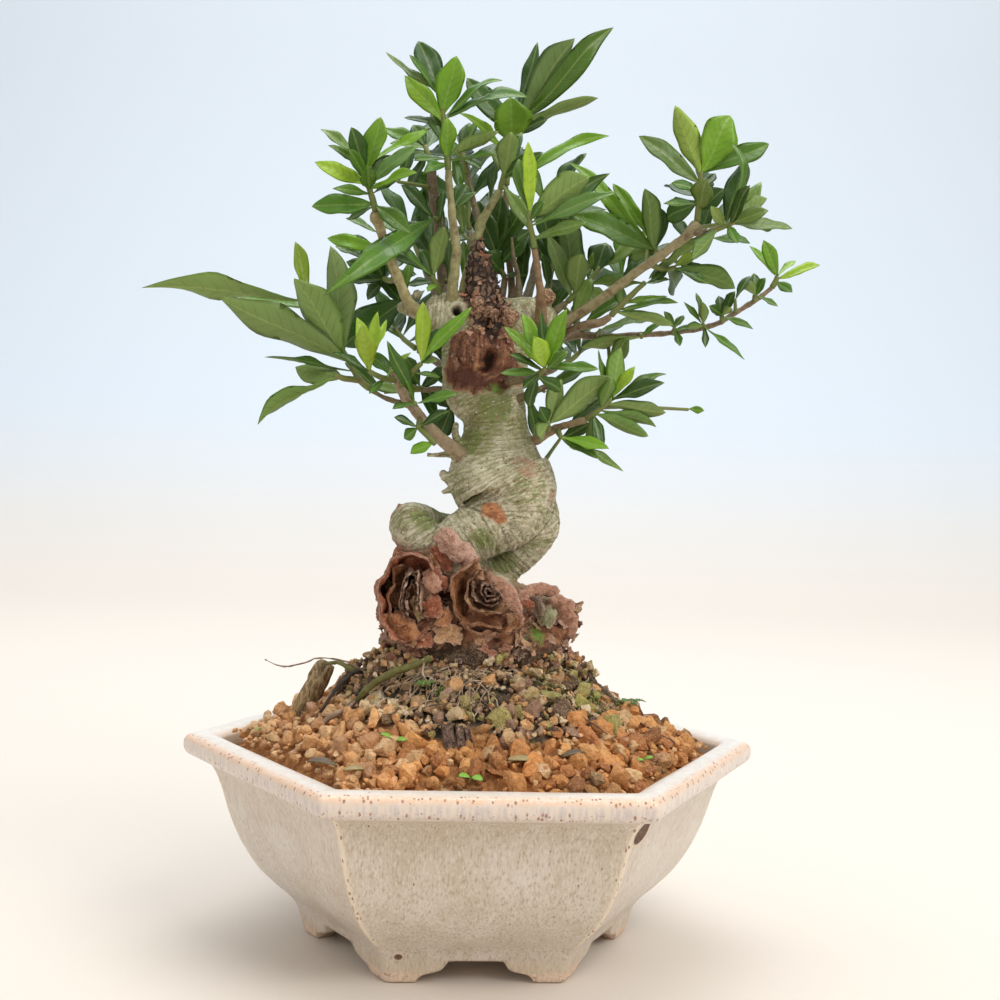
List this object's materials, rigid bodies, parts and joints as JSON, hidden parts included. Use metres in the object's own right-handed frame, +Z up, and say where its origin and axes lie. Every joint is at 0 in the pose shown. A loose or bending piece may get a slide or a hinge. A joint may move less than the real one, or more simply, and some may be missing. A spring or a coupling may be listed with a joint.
{
  "type": "potted gardenia bonsai",
  "caption": "Gardenia bonsai with a trunk that curls over itself, rolled bark at the base and glossy leaves, in a cream glazed hexagonal pot with soil.",
  "frame": {"origin": "on the ground under the middle of the pot, which is under the middle of the whole plant's box", "axes": "+Z up, the tree's front towards -Y, its long low leaf towards -X"},
  "size_m": [0.22, 0.1662, 0.2987],
  "materials": {
    "pot_glaze": "satin cream glaze with fine brown specks and vertical streaks, bare peach clay at the feet",
    "net_plastic": "black moulded net",
    "bark": "grey-green wrinkled bark with brown peeling flakes",
    "soil_grains": "orange-brown baked clay grains, dark and mossy round the trunk",
    "dead_wood": "weathered splintered wood",
    "chip_wood": "dark wet wood",
    "leaf_green": "glossy dark green leaf tops, paler matt undersides, young leaves yellow-green"
  },
  "bodies": {
    "root": {"back_shoot_far_right": "leaf_green", "back_shoot_left": "leaf_green", "back_shoot_low_left": "leaf_green", "back_shoot_low_right": "leaf_green", "back_shoot_middle": "leaf_green", "back_shoot_right": "leaf_green", "deadwood_stub": "dead_wood", "drain_mesh": "net_plastic", "pot": "pot_glaze", "shoot_behind_left": "leaf_green", "shoot_behind_middle": "leaf_green", "shoot_behind_right": "leaf_green", "shoot_crown_a": "leaf_green", "shoot_crown_b_left": "leaf_green", "shoot_crown_b_right": "leaf_green", "shoot_crown_c": "leaf_green", "shoot_crown_e": "leaf_green", "shoot_crown_f": "leaf_green", "shoot_crown_left": "leaf_green", "shoot_knob_left": "leaf_green", "shoot_left_bright": "leaf_green", "shoot_left_inner": "leaf_green", "shoot_left_outer": "leaf_green", "shoot_lower_right": "leaf_green", "shoot_right_bright": "leaf_green", "shoot_right_fork": "leaf_green", "shoot_right_high": "leaf_green", "shoot_right_inner": "leaf_green", "shoot_right_low_end": "leaf_green", "shoot_right_middle": "leaf_green", "shoot_right_twig": "leaf_green", "shoot_right_under": "leaf_green", "soil": "soil_grains", "spur_crown_a": "leaf_green", "spur_crown_c": "leaf_green", "spur_crown_c_high": "leaf_green", "spur_crown_left_foot": "leaf_green", "spur_crown_left_mid": "leaf_green", "spur_left_behind": "leaf_green", "spur_left_low": "leaf_green", "spur_left_mid": "leaf_green", "spur_right_high": "leaf_green", "spur_right_low_50": "leaf_green", "spur_right_low_60": "leaf_green", "spur_right_low_70": "leaf_green", "spur_right_low_76": "leaf_green", "spur_right_low_86": "leaf_green", "spur_right_under_big": "leaf_green", "trunk": "bark", "wood_chip": "chip_wood"}
  },
  "joints": []
}
